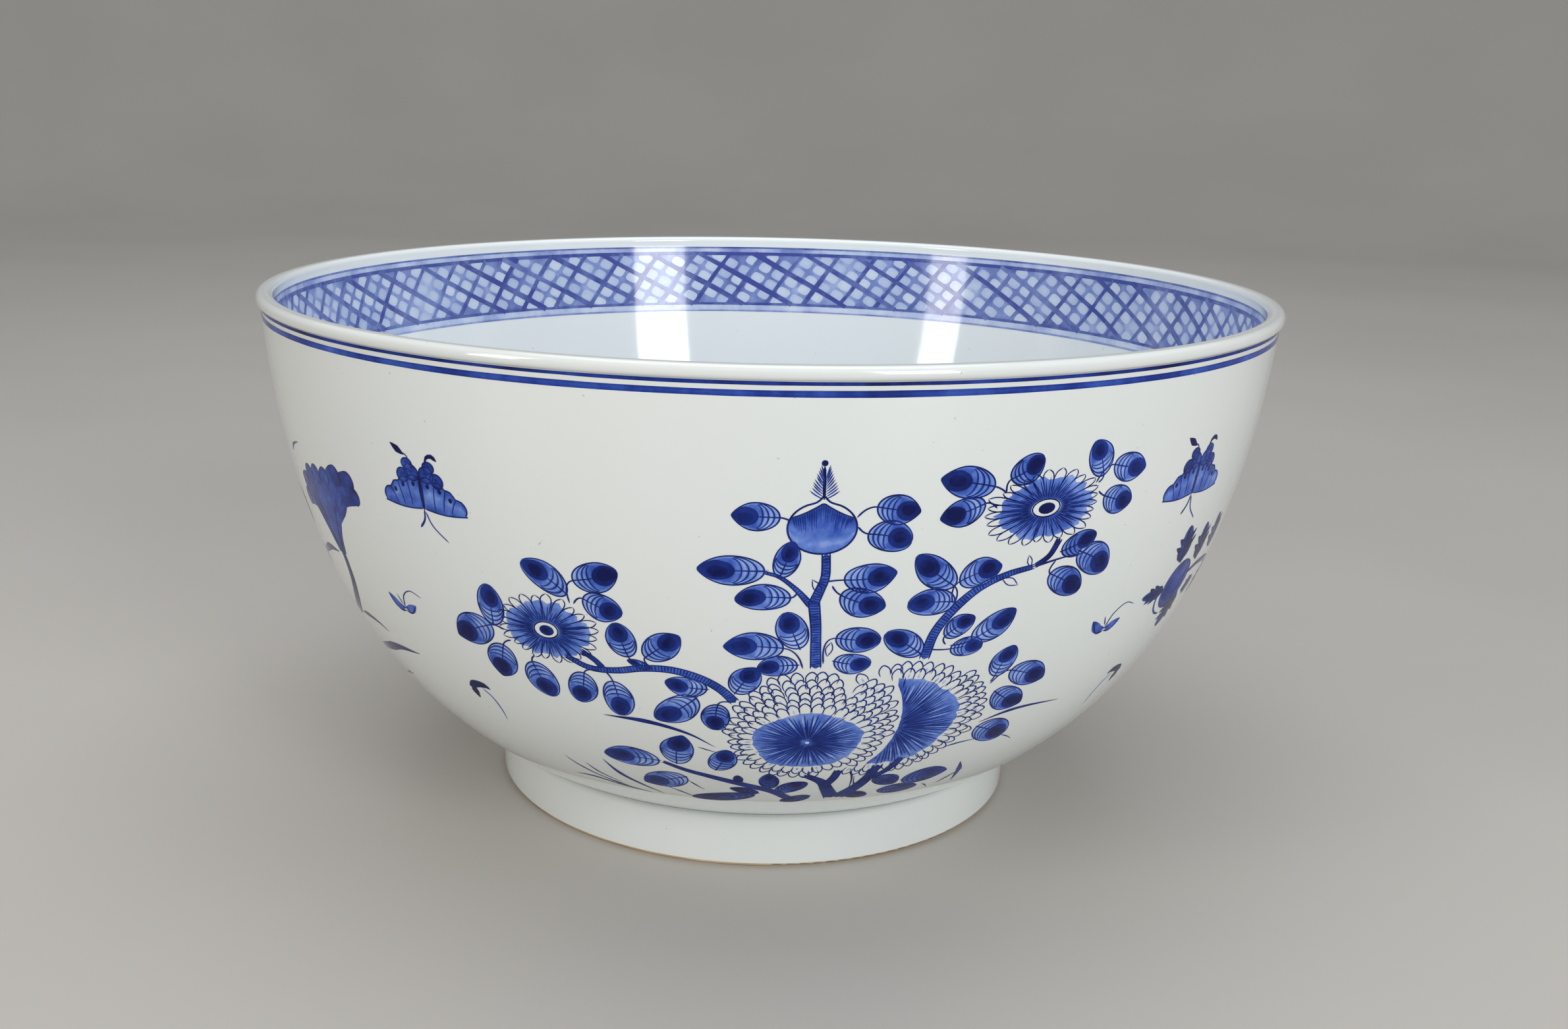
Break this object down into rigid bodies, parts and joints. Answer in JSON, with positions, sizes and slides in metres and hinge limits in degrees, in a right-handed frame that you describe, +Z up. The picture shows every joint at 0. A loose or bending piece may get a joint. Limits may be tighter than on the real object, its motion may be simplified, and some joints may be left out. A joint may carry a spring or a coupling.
{
  "type": "serving bowl",
  "caption": "Large deep porcelain serving bowl on a foot ring, rolled lip, blue-painted trellis border and flower sprays.",
  "frame": {"origin": "on the bowl's axis at the plane of the foot's resting edge", "axes": "+Z up along the bowl's axis, through the mouth; the main painted spray faces -Y"},
  "size_m": [0.406, 0.406, 0.209],
  "materials": {
    "fired_clay": "fired porcelain clay, fine and matt",
    "bare_foot": "unglazed porcelain, burnt to a pale tan along its edge",
    "slip": "fired luting slip, matt",
    "glaze": "glossy clear glaze over white porcelain, faintly blue-green",
    "cobalt_dark": "thick cobalt blue under gloss glaze, nearly black where it pools",
    "cobalt": "cobalt blue line under gloss glaze",
    "cobalt_wash": "thinned cobalt wash under gloss glaze",
    "cobalt_grey": "thin grey-blue cobalt line under gloss glaze"
  },
  "bodies": {
    "root": {"bowl_wall": "fired_clay", "foot_ring": "bare_foot", "slip_joint": "slip", "outer_glaze": "glaze", "inner_glaze": "glaze", "base_glaze": "glaze", "fine_rim_line": "cobalt_dark", "broad_rim_line": "cobalt", "trellis_border": "cobalt_wash", "foot_line": "cobalt_grey"}
  },
  "joints": []
}
